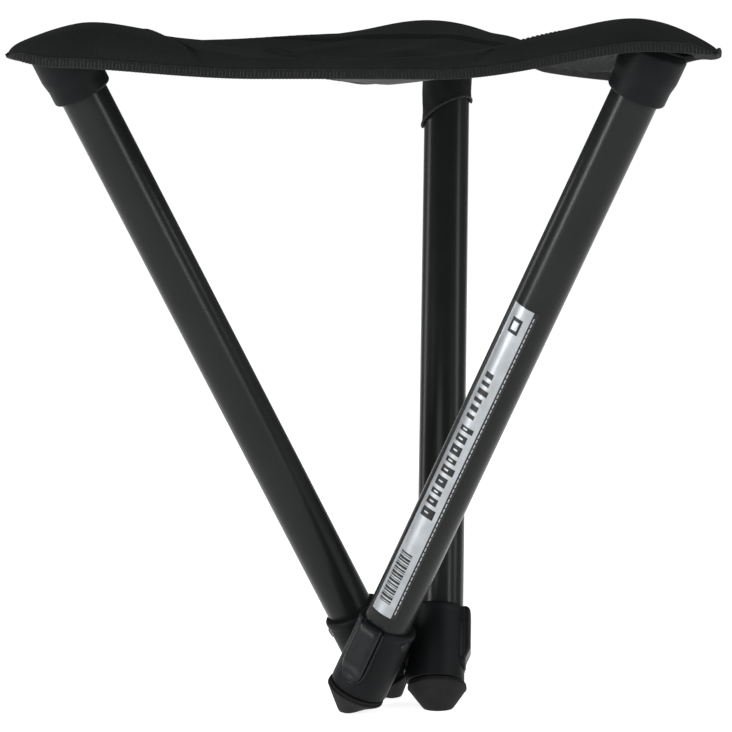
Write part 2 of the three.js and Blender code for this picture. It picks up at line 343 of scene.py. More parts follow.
def moulded_nylon(colours):
    # Glass-filled nylon from a spark-eroded mould: dull black with a fine pebble and paler rubbed spots.
    _, tree, shader = new_material("moulded_nylon", colours.moulded, 0.46, Specular_IOR_Level=0.08)
    cloud = noise(tree, 60.0, 3.0)
    vary_colour(tree, shader, cloud, colours.moulded, 1.0, 2.25)
    vary_roughness(tree, shader, cloud, 0.38, 0.56)
    bump(tree, shader, noise(tree, 1100.0, 2.0), 0.22, 0.0003)


def polished_nylon(colours):
    # The same nylon where thumbs have polished it: smooth, with a clear highlight.
    _, tree, shader = new_material("polished_nylon", colours.moulded, 0.26, Specular_IOR_Level=0.13)
    rub = noise(tree, 160.0, 4.0)
    vary_roughness(tree, shader, rub, 0.18, 0.4)
    vary_colour(tree, shader, rub, colours.moulded, 1.43, 3.3)


def moulded_rubber(colours):
    # Tyre-like black rubber: matt, a little grey, scuffed where it meets the ground.
    _, tree, shader = new_material("moulded_rubber", colours.rubber, 0.72, Specular_IOR_Level=0.12)
    scuff = noise(tree, 220.0, 5.0)
    vary_colour(tree, shader, scuff, colours.rubber, 1.0, 2.46)
    bump(tree, shader, scuff, 0.25, 0.0004)


THREAD_PITCH = 1.1 * MM  # the real weave is half as wide and wouldn't show


def weave_height(tree, pitch):
    """Two crossing sets of threads, laid on the slopes too by adding the height to both directions."""
    place = add_node(tree, "ShaderNodeTexCoord")
    split = add_node(tree, "ShaderNodeSeparateXYZ", None, {0: place.outputs["Object"]})
    waves = []
    for axis in (0, 1):
        slope = add_node(tree, "ShaderNodeMath", {"operation": "MULTIPLY_ADD", 1: 0.8}, {
            0: split.outputs[2], 2: split.outputs[axis]})
        turns = add_node(tree, "ShaderNodeMath", {"operation": "MULTIPLY", 1: 2 * math.pi / pitch}, {
            0: slope.outputs[0]})
        waves.append(add_node(tree, "ShaderNodeMath", {"operation": "SINE"}, {0: turns.outputs[0]}))
    crossed = add_node(tree, "ShaderNodeMath", {"operation": "MULTIPLY"}, {
        0: waves[0].outputs[0], 1: waves[1].outputs[0]})
    return crossed.outputs[0]


def added(tree, first, share, second):
    """first times share, plus second."""
    return add_node(tree, "ShaderNodeMath", {"operation": "MULTIPLY_ADD", 1: share}, {
        0: first, 2: second}).outputs[0]


def woven_polyester(colours):
    # Tight plain weave of dull polyester yarn: near black, with a faint grey sheen along the folds.
    _, tree, shader = new_material(
        "woven_polyester", colours.fabric, 0.85, Specular_IOR_Level=0.08, Sheen_Weight=0.06,
        Sheen_Roughness=0.45)
    shader.inputs["Sheen Tint"].default_value = linear("#6c6f6f")
    lint = noise(tree, 520.0, 4.0)
    vary_colour(tree, shader, added(tree, lint, 0.55, noise(tree, 24.0, 3.0)), colours.fabric, 1.0, 3.15)
    bump(tree, shader, added(tree, weave_height(tree, THREAD_PITCH), 0.5, lint), 0.35, 0.0004)


def knitted_mesh(colours):
    # Open polyester mesh under the seat: dark grey yarn with small dark holes.
    _, tree, shader = new_material(
        "knitted_mesh", colours.mesh, 0.9, Specular_IOR_Level=0.15, Sheen_Weight=0.1)
    weave = weave_height(tree, 1.6 * MM)
    holes = add_node(tree, "ShaderNodeMapRange", {"From Min": -0.3, "From Max": 0.4}, {"Value": weave})
    vary_colour(tree, shader, holes.outputs[0], colours.mesh, 1.0, 4.3)
    bump(tree, shader, weave, 0.2, 0.0003)


def binding_tape(colours):
    # Folded edge binding, the same polyester pressed flat.
    _, tree, shader = new_material(
        "binding_tape", colours.fabric, 0.8, Specular_IOR_Level=0.12, Sheen_Weight=0.1)
    weave = weave_height(tree, 0.9 * MM)
    vary_colour(tree, shader, weave, colours.fabric, 1.22, 2.65)
    bump(tree, shader, weave, 0.3, 0.0003)


def sewing_thread(colours):
    # Bonded nylon thread: a little paler than the cloth, with a dull shine.
    _, tree, shader = new_material("sewing_thread", colours.thread, 0.6, Specular_IOR_Level=0.25)
    vary_colour(tree, shader, noise(tree, 1500.0, 1.0), colours.thread, 1.0, 2.84)


def zinc_plated_steel(colours):
    # Bright zinc on steel: cool grey with a soft mottled gloss.
    _, tree, shader = new_material("zinc_plated_steel", colours.steel, 0.35, 0.9)
    vary_roughness(tree, shader, noise(tree, 300.0, 3.0), 0.25, 0.5)


def blackened_steel(colours):
    # Rivet heads with a black oxide skin: dark, with a small worn gloss.
    _, tree, shader = new_material("blackened_steel", colours.moulded, 0.42, 0.6)
    vary_colour(tree, shader, noise(tree, 500.0, 3.0), colours.moulded, 2.3, 9.3)


def silver_film(colours):
    # Metallised polyester film: pale silver with a soft streaky gloss.
    _, tree, shader = new_material("silver_film", colours.label, 0.32, 0.5)
    vary_colour(tree, shader, noise(tree, 90.0, 3.0), colours.label, 1.0, 2.13)


def printing_ink(colours):
    # Black screen ink on the film: flat, with a slight gloss.
    _, tree, shader = new_material("printing_ink", colours.ink, 0.4, Specular_IOR_Level=0.3)
    vary_colour(tree, shader, noise(tree, 400.0, 2.0), colours.ink, 1.0, 3.35)


MAKERS = (black_anodised_aluminium, drawn_aluminium, moulded_nylon, polished_nylon, moulded_rubber,
          woven_polyester, knitted_mesh, binding_tape, sewing_thread, zinc_plated_steel,
          blackened_steel, silver_film, printing_ink)
SLOT_FINISHES = {"anodised": "black_anodised_aluminium", "bare_aluminium": "drawn_aluminium",
                 "moulded": "moulded_nylon", "rubber": "moulded_rubber", "woven": "woven_polyester",
                 "steel": "zinc_plated_steel", "foil": "silver_film"}


def finish(name):
    return bpy.data.materials[name]


# ---- sizes and colours that a user would change -------------------------------------------------------

def colour_property(name, description, default):
    return StringProperty(name=name, description=description, default=default)


def length_property(name, description, default):
    return FloatProperty(name=name, description=description, default=default, unit="LENGTH", precision=4)


class StoolColours(bpy.types.PropertyGroup):
    tube: colour_property("Tube", "Dyed aluminium of the legs", "#161817")
    inner_tube: colour_property("Sliding tube", "Bare aluminium of the sliding tubes", "#8d8f91")
    moulded: colour_property("Mouldings", "Nylon of the caps, collars and buttons", "#0c0d0e")
    rubber: colour_property("Feet", "Rubber of the feet", "#131313")
    fabric: colour_property("Fabric", "Woven seat fabric", "#0d0e0e")
    mesh: colour_property("Mesh", "Open mesh under the seat", "#111212")
    thread: colour_property("Thread", "Sewing thread", "#101111")
    steel: colour_property("Steel", "Rivets and springs", "#8a8c8e")
    label: colour_property("Sticker", "Silver film of the sticker", "#7f8285")
    ink: colour_property("Ink", "Printing on the sticker", "#0c0c0d")


class StoolSizes(bpy.types.PropertyGroup):
    hem_height: length_property("Hem", "Height of the sewn hem", 5.0 * MM)
    cloth: length_property("Cloth", "Thickness of the seat's cloth", 1.5 * MM)
    hump_radius: length_property("Hump radius", "Stool axis to the top of a corner's hump", 168 * MM)
    edge_radius: length_property("Edge radius", "Stool axis to the middle of a seat edge", 108 * MM)
    centre_height: length_property("Seat centre", "Height of the seat's middle above the floor", 351 * MM)
    stitch_pitch: length_property("Stitch pitch", "From one hem stitch to the next", 1.9 * MM)
    grid: IntProperty(name="Grid", description="Cells along each side of a third of the seat",
                      default=110, min=20, max=200)


class StoolStage(bpy.types.PropertyGroup):
    azimuth: FloatProperty(name="Azimuth", description="Camera's turn round the stool, degrees", default=11.25)
    elevation: FloatProperty(name="Elevation", description="Camera's height angle, degrees", default=6.21)
    distance: length_property("Distance", "Camera to the stool's axis", 2.446)
    aim_height: length_property("Aim height", "Height of the point that the camera looks at", 188.8 * MM)
    aim_side: length_property("Aim side", "How far left of the axis the camera looks", 13.4 * MM)
    roll: FloatProperty(name="Roll", description="Camera's roll, degrees", default=-0.463)
    lens: FloatProperty(name="Lens", description="Focal length for a 36 mm sensor, mm", default=219.7)


def sizes():
    return bpy.context.scene.stool_sizes


def colours():
    return bpy.context.scene.stool_colours


# ---- leg pieces ---------------------------------------------------------------------------------------

def settle(piece, body, slot, *nodes):
    """Says what the piece moves with and which plain solids it stands for. The slot is not used."""
    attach(piece, body)
    if nodes:
        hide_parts(*nodes)
    return piece


def tube_piece(leg, name, node, material):
    """A tube with a 1 mm wall and slightly rounded ends."""
    low, high = leg.span(node)
    outer = leg.radius(node)
    inner = outer - 1.0 * MM
    profile = rounded([(outer, low), (outer, high), (inner, high), (inner, low)], 0.4 * MM)
    return new_object(name, *turned(profile), [material], leg.matrix)


def tongue(half, low, high, corner):
    """Outline in (across, along): a half circle at its lower end and two small corners on top."""
    corner = max(corner, 0.1 * MM)
    right = [(half * math.sin(a), low + half - half * math.cos(a)) for a in np.linspace(0.04, math.pi / 2, 16)]
    right += [(half, z) for z in np.linspace(low + half, high - corner, 18)[1:-1]]
    right += [(half - corner + corner * math.cos(a), high - corner + corner * math.sin(a))
              for a in np.linspace(0, math.pi / 2, 6)]
    right += [((half - corner) * share, high) for share in (0.7, 0.4, 0.1)]
    return right + [(-x, z) for x, z in reversed(right)]


BUTTON_END = -7.4 * MM  # lower end of the button along the leg
BOSS_START = -19 * MM  # inner end of the hinge boss, from the leg's hinge


def collar_piece(leg):
    """Collar with a bore for the tube and a pocket for the button, and the boss of its hinge."""
    low, high = leg.span("collar_" + leg.side)
    radius, offset = 16.1 * MM, -2.1 * MM
    tube = leg.radius("outer_tube_" + leg.side)
    rim = 1.3 * MM
    outer = [
        (radius - 0.8 * MM, low), (radius, low + 0.8 * MM), (radius, high - 4.4 * MM),
        (radius + 0.35 * MM, high - 3.4 * MM), (radius + 0.35 * MM, high - rim),
        (radius - 0.3 * MM, high - 0.3 * MM), (radius - 1.2 * MM, high)]
    inner = [(10.0 * MM, high), (10.0 * MM, low)]
    points, faces = turned(rounded(outer + inner, 0.7 * MM, 3), 112, (offset, 0))
    shell = new_object("collar_shell_" + leg.side, points, faces, [finish("moulded_nylon")])
    bore = [(11.3 * MM, low - MM), (11.3 * MM, 14.7 * MM), (tube + 0.25 * MM, 14.7 * MM),
            (tube + 0.25 * MM, high + MM), (0, high + MM), (0, low - MM)]
    hole_points, hole_faces = turned(bore, 96)
    boolean_cut(shell, new_object("bore", hole_points, hole_faces, []))
    pocket_floor = 11.9 * MM
    outline = tongue(7.4 * MM, BUTTON_END - 0.4 * MM, high + 12 * MM, 2 * MM)
    rings = [[(x, y, z) for y, z in outline] for x in (pocket_floor, 30 * MM)]
    pocket_points, pocket_faces = lofted(rings)
    boolean_cut(shell, new_object("pocket", pocket_points, pocket_faces, []))
    boss_profile = rounded([(7.2 * MM, 0), (8 * MM, 0.6 * MM), (8 * MM, 7 * MM), (3 * MM, 7 * MM), (3 * MM, 0)],
                           0.3 * MM, 2)
    boss_points, boss_faces = turned(boss_profile, 48)
    inward = np.array([(BOSS_START + z, y, x) for x, y, z in boss_points])
    boss = new_object("collar_boss_" + leg.side, inward, boss_faces, [finish("moulded_nylon")], leg.matrix)
    soften_edges(shell, 0.35 * MM, 2, 40)
    shell.data.transform(leg.matrix)
    settle(shell, "leg_" + leg.side, "moulded", "collar_" + leg.side)
    settle(boss, "leg_" + leg.side, "moulded")


def guide_piece(leg):
    """Raised lip round the button's slot, which the button slides past."""
    high = leg.span("collar_" + leg.side)[1]
    section = rounded([(0, 11 * MM), (0.9 * MM, 11 * MM), (0.9 * MM, 14.2 * MM), (0, 14.2 * MM)], 0.35 * MM, 3)
    half, end, top = 7.35 * MM, BUTTON_END - 0.35 * MM, high - 1.2 * MM
    bend = end + half
    path = [(-half, z, math.pi) for z in np.linspace(top, bend, 12)[:-1]]
    path += [(half * math.cos(a), bend + half * math.sin(a), a) for a in np.linspace(math.pi, 2 * math.pi, 28)]
    path += [(half, z, 0.0) for z in np.linspace(bend, top, 12)[1:]]
    rings = [[(x, y + out * math.cos(a), z + out * math.sin(a)) for out, x in section] for y, z, a in path]
    guide = new_object("button_guide_" + leg.side, *lofted(rings), [finish("polished_nylon")], leg.matrix)
    settle(guide, "leg_" + leg.side, "moulded")


def button_piece(leg):
    """Tongue-shaped button: a raised pad under the rim that runs down into a low, glossy, dished end."""
    _, collar_top = leg.span("collar_" + leg.side)
    face, tail, back, skirt = 17.4 * MM, 14.95 * MM, 14.25 * MM, 13.15 * MM

    def skirt_height(across, along):
        """The sides reach down past the tube, and the end over the tube stays clear of it."""
        return skirt if abs(across) > 5 * MM or along < 13 * MM else back

    under = {inset: tongue((7.0 - inset) * MM, BUTTON_END + inset * MM, collar_top + (0.3 - inset) * MM,
                           (2.4 - inset) * MM) for inset in (0, 1.0, 1.2)}
    rings = [[(back, across, along) for across, along in under[1.2]]]
    rings += [[(skirt_height(*place), *place) for place in under[inset]] for inset in (1.0, 0)]
    for inset, fall in ((0, 1.6), (0.2, 0.9), (0.7, 0.35), (1.5, 0.05), (2.6, 0), (3.8, 0), (5.0, 0),
                        (6.0, 0), (6.6, 0)):
        ring = []
        outline = tongue(7.0 * MM - inset * MM, BUTTON_END + inset * MM, collar_top + 0.3 * MM - inset * MM,
                         (2.4 - inset) * MM)
        for across, along in outline:
            ramp = min(1.0, max(0.0, (along + 3.5 * MM) / (8 * MM)))
            height = tail + (face - tail) * ease(ramp)
            spot = ((along + 1.8 * MM) / (3.4 * MM)) ** 2 + (across / (3.6 * MM)) ** 2
            height -= 0.55 * MM * math.exp(-spot)
            over = min(1.0, max(0.0, (along - collar_top + 4.8 * MM) / (5.1 * MM)))
            height -= 2.4 * MM * (1 - math.sqrt(1 - over * over))
            round_off = fall * MM * min(1.0, 0.35 + 0.65 * ramp)
            ring.append((max(back, height - round_off), across, along))
        rings.append(ring)
    points, faces = lofted(rings, True, False)
    size = len(rings[0])
    last = len(points) - size  # the face is closed by quads across it
    faces += [(last + i, last + i + 1, last + size - 2 - i, last + size - 1 - i) for i in range(size // 2 - 1)]
    piece = new_object("button_" + leg.side, points, faces, [finish("polished_nylon")], leg.matrix)
    settle(piece, "button_" + leg.side, "moulded", "release_button_" + leg.side)


def foot_piece(leg):
    """Rubber boot: a flange with a groove round it, and a body that narrows to the sole right under it."""
    node = "foot_" + leg.side
    _, flange_top = leg.span(node)
    angles = full_turn(96)
    rings = []
    for radius, drop in ((11.4, 0.0), (15.2, 0.0), (15.9, 0.25), (16.1, 0.8), (15.5, 1.15), (15.5, 1.4),
                         (16.3, 1.75), (16.3, 2.8), (15.8, 3.3)):
        rings.append([leg.origin + leg.x * (radius * MM * math.cos(a) - 1.0 * MM)
                      + leg.y * radius * MM * math.sin(a) + leg.z * (flange_top - drop * MM) for a in angles])
    start = np.array(rings[-1])
    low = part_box(node)[0].z
    forward = np.cross((0, 0, 1), leg.x)
    middle = leg.origin + leg.z * flange_top
    middle = np.array((middle[0], middle[1], 0)) - leg.x * 0.5 * MM - forward * 1.2 * MM
    sole = []
    for a in angles:
        across, ahead = math.cos(a), math.sin(a)
        point = middle + leg.x * 8.3 * MM * across + forward * 9.2 * MM * ahead
        point[2] = low + 2.4 * MM * max(0.0, ahead) ** 1.5
        sole.append(point)
    sole = np.array(sole)
    for t in (0.12, 0.5, 0.86):
        bulge = 0.25 * MM * math.sin(math.pi * t)
        ring = start * (1 - t) + sole * t
        outward = ring - ring.mean(axis=0)
        outward /= np.linalg.norm(outward, axis=1)[:, None]
        rings.append(list(ring + outward * bulge))
    centre = sole.mean(axis=0)
    rings.append(list(sole + (start - sole) * 0.055))
    rings += [list(sole * (1 - share) + centre * share) for share in (0.03, 0.1, 0.5)]
    socket = ring_round(leg.origin + leg.z * (flange_top - 5 * MM), leg.x, leg.y, 11.35 * MM, 96)
    points, faces = lofted([socket] + rings)
    piece = new_object("foot_boot_" + leg.side, points, turn_round(faces), [finish("moulded_rubber")])
    settle(piece, "inner_leg_" + leg.side, "rubber", node)


def cap_piece(leg):
    """Sleeve of the top cap, with a rounded lower lip, and the nose that reaches into the seat's corner."""
    node = "top_cap_" + leg.side
    low = leg.span(node)[0]
    tube = leg.radius("outer_tube_" + leg.side)
    rise = -7 * MM if leg.side == "rear" else 4 * MM  # the rear corner hangs lower over its cap
    profile = rounded([
        (tube + 0.2 * MM, low), (15.4 * MM, low), (16.1 * MM, low + 1.0 * MM), (16.1 * MM, low + 8 * MM),
        (17.2 * MM, low + 14 * MM), (17.2 * MM, low + 23 * MM + rise), (13 * MM, low + 27 * MM + rise),
        (3 * MM, low + 27.5 * MM + rise), (3 * MM, low + 18.6 * MM), (tube + 0.2 * MM, low + 18 * MM)],
        1.4 * MM, 4)
    points, faces = turned(profile, 96)
    sleeve = new_object("cap_sleeve_" + leg.side, points, turn_round(faces), [finish("moulded_nylon")],
                        leg.matrix)
    settle(sleeve, "leg_" + leg.side, "moulded", node)
    top_radius = float((leg.top - AXIS) @ leg.corner)
    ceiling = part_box(node)[1].z - (15 * MM if leg.side == "rear" else 3.5 * MM)
    rings = []
    for reach, half, low_z, high_z in ((-12, 7, 14, 7), (-6, 10, 15, 1.5), (2, 11, 14, 0.2), (10, 10, 11, 2.2),
                                       (18, 8.4, 10.5, 6), (25, 6, 11.5, 9), (28, 3.6, 12.3, 11)):
        ring = []
        middle_z = ceiling - (low_z + high_z) / 2 * MM
        half_z = (low_z - high_z) / 2 * MM
        for a in full_turn(40):
            across = math.copysign(abs(math.cos(a)) ** 0.8, math.cos(a)) * half * MM
            up = math.copysign(abs(math.sin(a)) ** 0.8, math.sin(a)) * half_z
            ring.append(AXIS + leg.corner * (top_radius + reach * MM) + leg.across * across
                        + UP * (middle_z + up))
        rings.append(ring)
    points, faces = lofted(rings)
    nose = new_object("cap_nose_" + leg.side, points, faces, [finish("moulded_nylon")])
    settle(nose, "leg_" + leg.side, "moulded")


def label_piece(leg):
    """Silver sticker round the outward side of the tube, with plain printed bars and no lettering."""
    low, high = leg.span("label")
    low += 3 * MM
    tube = leg.radius("outer_tube_" + leg.side)
    film = tube + 0.12 * MM
    ink = tube + 0.17 * MM

    def plate(angle0, angle1, z0, z1, radius, material, steps=24):
        columns = np.radians(np.linspace(angle0, angle1, steps))
        points, faces = [], []
        for r in (radius, radius - 0.1 * MM):
            for z in (z0, z1):
                points += [(r * math.cos(a), r * math.sin(a), z) for a in columns]
        for i in range(steps - 1):
            outer0, outer1 = i, steps + i
            inner0, inner1 = 2 * steps + i, 3 * steps + i
            faces += [(outer0, outer0 + 1, outer1 + 1, outer1), (inner0, inner1, inner1 + 1, inner0 + 1),
                      (outer0, inner0, inner0 + 1, outer0 + 1), (outer1, outer1 + 1, inner1 + 1, inner1)]
        faces += [(0, steps, 3 * steps, 2 * steps),
                  (steps - 1, 3 * steps - 1, 4 * steps - 1, 2 * steps - 1)]
        plates.append((points, faces))
        slots.extend([material] * len(faces))

    plates, slots = [], []
    plate(-29.5, 29.5, low, high, film, 0)
    for edge in (-1, 1):
        plate(edge * 30, edge * 42, low, high, film, 1, 8)
    place = low + 3 * MM
    while place < high - 4 * MM:  # a broken silver line along one border
        dash = (1.4 + 1.3 * math.sin(place / MM) ** 2) * MM
        plate(33.5, 36, place, place + dash, ink, 0, 3)
        place += dash + 0.8 * MM
    place = low + 7 * MM
    for i in range(20):  # plain bars at the lower end
        width = (0.45 + 0.5 * ((i * 7) % 3)) * MM
        plate(-20, 14, place, place + width, ink, 1, 14)
        place += width + (0.5 + 0.4 * ((i * 5) % 2)) * MM
    place = low + (high - low) * 0.32
    for i in range(15):  # bold blocks in the middle, thinner ones after them
        bold = i < 9
        width = (5.6 - 1.3 * (i % 3) if bold else 3.2 - 0.8 * (i % 2)) * MM
        top = 19 if i % 4 == 0 else 13
        plate(-17, top if bold else top - 7, place, place + width, ink, 1, 14)
        if bold:
            middle = place + width / 2
            plate(-9, 3, middle - 0.45 * MM, middle + 0.45 * MM, ink + 0.02 * MM, 0, 8)
        place += width + (2.3 if i != 8 else 5) * MM
    plate(-14, 14, high - 16 * MM, high - 7 * MM, ink, 1, 12)
    plate(-8, 8, high - 14 * MM, high - 9 * MM, ink + 0.02 * MM, 0, 12)
    looks = [finish("silver_film"), finish("printing_ink")]
    piece = new_object("sticker", *merged(plates), looks, leg.matrix, slots=slots)
    settle(piece, "leg_" + leg.side, "foil", "label")


# ---- seat ---------------------------------------------------------------------------------------------

class Seat:
    """The sling as a height over its plan: three thirds, each from a corner to the middle of the seat."""

    OUTLINE_STEPS = 260
    SHOULDER_AT, LEVEL_AT = 0.3, 0.8  # of the way from a corner's tip to the middle of the edge

    def __init__(self):
        size = sizes()
        self.size = size
        tip = max(corner_points())
        self.tips = {"right": tip + 3 * MM, "left": tip - 7 * MM, "rear": tip - 3 * MM}
        self.top = CAD_BOX[1].z
        self.lower = {"right": -0.6 * MM, "left": 1.4 * MM, "rear": 10.4 * MM}  # humps below the highest
        self.lean = {"right": 0.0, "left": 0.0, "rear": 9 * MM}  # how far a hump sits to one side
        self.seam_bend = {"right": 2.7, "left": 2.7, "rear": 8.0}  # how fast a patch's edge bends inward, 1/m
        self.seam = {"right": 126 * MM, "left": 132 * MM, "rear": 108 * MM}  # stool axis to a patch's edge
        # How far the hem's underside hangs below the stool's top, in mm: corner tip, shoulder, mid edge.
        self.hem_drops = {
            ("left", 1): (18, 23, 29), ("right", -1): (16, 14, 29),
            ("right", 1): (16, 20, 36), ("rear", -1): (25, 26, 36),
            ("rear", 1): (25, 25, 20), ("left", -1): (18, 22, 20),
        }
        self.outline = self.sample_outline()

    def edge_curve(self, leg, sign, t):
        """Plan of half an edge, from the tip of a corner to the middle of the edge."""
        t = np.asarray(t)[..., None]
        sixty = math.radians(60)
        tip = self.tips[leg.side]
        mid = self.size.edge_radius * np.array((math.cos(sixty), math.sin(sixty)))
        along_edge = np.array((-math.cos(sixty / 2), math.sin(sixty / 2)))
        control = (np.array((tip, 0)), np.array((tip, 26 * MM)), mid - along_edge * 75 * MM, mid)
        weights = ((1 - t) ** 3, 3 * t * (1 - t) ** 2, 3 * t * t * (1 - t), t ** 3)
        flat = sum(w * c for w, c in zip(weights, control))
        return AXIS + flat[..., :1] * leg.corner + sign * flat[..., 1:] * leg.across

    def hem_at(self, leg, sign, t):
        """Height of the hem's underside along half an edge: eased to its shoulder, eased on, then level."""
        tip, shoulder, middle = (self.top - drop * MM for drop in self.hem_drops[leg.side, sign])
        t = np.asarray(t)
        onward = (t - self.SHOULDER_AT) / (self.LEVEL_AT - self.SHOULDER_AT)
        return tip + (shoulder - tip) * ease(t / self.SHOULDER_AT) + (middle - shoulder) * ease(onward)

    def sample_outline(self):
        points, hems = [], []
        t = np.linspace(0, 1, self.OUTLINE_STEPS)
        for side in SIDES:
            for sign in (-1, 1):
                points.append(self.edge_curve(LEGS[side], sign, t))
                hems.append(self.hem_at(LEGS[side], sign, t))
        return np.concatenate(points)[:, :2], np.concatenate(hems)

    def plan(self, leg, u, v):
        """Plan of a third of the seat, u towards one edge's middle and v towards the other's."""
        u, v = np.asarray(u)[..., None], np.asarray(v)[..., None]
        first, second = self.edge_curve(leg, 1, u[..., 0]), self.edge_curve(leg, -1, v[..., 0])
        tip = self.edge_curve(leg, 1, 0.0)
        mid_first, mid_second = self.edge_curve(leg, 1, 1.0), self.edge_curve(leg, -1, 1.0)
        far_second = mid_second + u * (AXIS - mid_second)
        far_first = mid_first + v * (AXIS - mid_first)
        corners = (1 - u) * (1 - v) * tip + u * (1 - v) * mid_first + (1 - u) * v * mid_second + u * v * AXIS
        return (1 - v) * first + v * far_second + (1 - u) * second + u * far_first - corners

    def to_edge(self, points):
        """Distance to the outline, and the hem's underside at the nearest place of the outline."""
        flat, hem = self.outline
        distance = np.empty(len(points))
        under = np.empty(len(points))
        for start in range(0, len(points), 2000):
            part = points[start:start + 2000, :2]
            gap = np.hypot(part[:, None, 0] - flat[None, :, 0], part[:, None, 1] - flat[None, :, 1])
            nearest = gap.argmin(axis=1)
            distance[start:start + 2000] = gap[np.arange(len(part)), nearest]
            under[start:start + 2000] = hem[nearest]
        return distance, under

    def crown(self, points):
        """Height of the cloth before its edges turn down."""
        size = self.size
        flat = points - AXIS
        centre = size.centre_height
        rise = self.top - 0.5 * MM - centre
        height = np.full(len(flat), centre)
        for side in SIDES:
            leg = LEGS[side]
            lower = self.lower[side]
            r = flat @ leg.corner
            y = flat @ leg.across - self.lean[side]
            x = np.clip(r / size.hump_radius, 0, None)
            up = (rise - lower + 3.2 * MM) * x ** 1.2
            down = rise - lower + 4.2 * MM - 0.34 * (r - size.hump_radius + 4 * MM)
            soft = 4.5 * MM
            height += np.where(x > 0, -soft * np.logaddexp(-up / soft, -down / soft), 0)
            height -= 3.4 * MM * (y / (24 * MM)) ** 2 * np.exp(-((r - 175 * MM) / (40 * MM)) ** 2) * (r > 0)
            # Edge of the corner patch: a small step with a groove in front of it.
            seam = self.seam[side] - self.seam_bend[side] * y * y
            step = r - seam
            height += np.where(r > 60 * MM, 0.8 * MM * (1 + np.tanh(step / (0.8 * MM))), 0)
            height -= np.where(r > 60 * MM, 2.0 * MM * np.exp(-((step + 1.3 * MM) / (1.3 * MM)) ** 2), 0)
        front = -(flat @ LEGS["rear"].corner)
        sideways = flat @ LEGS["rear"].across
        height -= 5 * MM * np.clip(front / size.edge_radius, 0, 1) ** 2 * np.clip(
            1 - (sideways / (150 * MM)) ** 2, 0, 1)
        return height + self.folds(flat)

    def folds(self, flat):
        """Long shallow tension folds, each a ridge between two places of the seat."""
        ridges = (  # from, to, height, half width
            ((-120, -40), (70, -20), 1.8, 9), ((-95, -75), (60, -62), 1.3, 7), ((120, -45), (10, -8), 2.0, 9),
            ((25, 120), (-20, 10), 2.2, 11), ((-30, 118), (-62, 20), 1.5, 8), ((140, -60), (40, 30), 1.7, 10),
            ((-110, -62), (-20, 42), 1.4, 9), ((60, 40), (-40, 60), 1.2, 12), ((90, -85), (-40, -48), 1.2, 6),
            ((-96, 30), (-12, -98), -2.0, 4), ((-88, 38), (-2, -92), 1.9, 5), ((84, 40), (8, -66), -1.9, 4),
            ((90, 30), (20, -74), 1.6, 5), ((-88, 6), (2, 18), -2.6, 5), ((-90, -6), (-6, 4), 2.0, 6),
            ((50, -12), (-30, -84), 1.3, 4), ((110, -62), (36, -96), -1.2, 4), ((-60, -30), (30, 60), -1.3, 5),
        )
        height = np.zeros(len(flat))
        for start, end, rise, half in ridges:
            a, b = np.array(start) * MM, np.array(end) * MM
            run = b - a
            t = np.clip(((flat[:, :2] - a) @ run) / (run @ run), 0, 1)
            off = np.hypot(*(flat[:, :2] - a - t[:, None] * run).T)
            height += rise * MM * np.exp(-(off / (half * MM)) ** 2) * np.sin(math.pi * np.clip(t, 0.02, 0.98))
        return height

    def surface(self, points):
        """Height of the cloth's upper face, which ends behind the hem."""
        crown = self.crown(points)
        distance, under = self.to_edge(points)
        at_tip = sum(np.clip(((points - AXIS) @ LEGS[side].corner - self.tips[side]) / (20 * MM) + 1, 0, 1)
                     for side in SIDES)
        least = under + (self.size.hem_height + 0.8 * MM) * (1 - 0.45 * at_tip)
        crown += np.maximum(least - crown, 0) * np.clip(1 - distance / (34 * MM), 0, 1) ** 2
        drop = np.maximum(crown - under - 0.8 * MM, 0.5 * MM)
        width = 1.5 * MM + 0.85 * drop
        x = np.clip(1 - distance / width, 0, 1)
        return crown - drop * (1 - np.sqrt(np.clip(1 - x * x, 0, 1)))


def grid_points(seat, leg, count):
    """Points of a third of the seat, closer together near the edge, where the cloth turns over."""
    values = np.linspace(0, 1, count + 1) ** 1.35
    u, v = np.meshgrid(values, values, indexing="ij")
    points = seat.plan(leg, u, v).reshape(-1, 3)
    points[:, 2] = seat.surface(points)
    return points


def grid_faces(rows, columns):
    """Quads over a grid of points that is stored row by row."""
    return [(i * columns + j, (i + 1) * columns + j, (i + 1) * columns + j + 1, i * columns + j + 1)
            for i in range(rows - 1) for j in range(columns - 1)]


def vertex_normals(points, faces):
    normals = np.zeros_like(points)
    quads = np.array(faces)
    a, b, c, d = (points[quads[:, i]] for i in range(4))
    face_normals = np.cross(c - a, d - b)
    for i in range(4):
        np.add.at(normals, quads[:, i], face_normals)
    lengths = np.linalg.norm(normals, axis=1)
    return normals / np.maximum(lengths, 1e-12)[:, None]


def shell(points, normals, faces, thickness):
    """A thin closed shell: the faces, a copy of them lower down, and the rim between."""
    used = sorted({i for face in faces for i in face})
    place = {old: new for new, old in enumerate(used)}
    upper = points[used]
    lower = upper - normals[used] * thickness
    count = len(used)
    top = [tuple(place[i] for i in face) for face in faces]
    bottom = [tuple(count + i for i in reversed(face)) for face in top]
    edges = {}
    for face in top:
        for i in range(len(face)):
            edge = (face[i], face[(i + 1) % len(face)])
            edges[edge] = edges.get(edge, 0) + 1
    rim = [(b, a, count + a, count + b) for a, b in edges if (b, a) not in edges]
    return np.concatenate([upper, lower]), top + bottom + rim, [0] * len(top) + [1] * (len(bottom) + len(rim))


def squash_sling(piece):
    """Gives a piece of a sling third its own copy of its mesh data."""
    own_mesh(piece)


def squash_pocket(piece):
    """Gives a piece of a corner pocket its own copy of its mesh data."""
    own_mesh(piece)


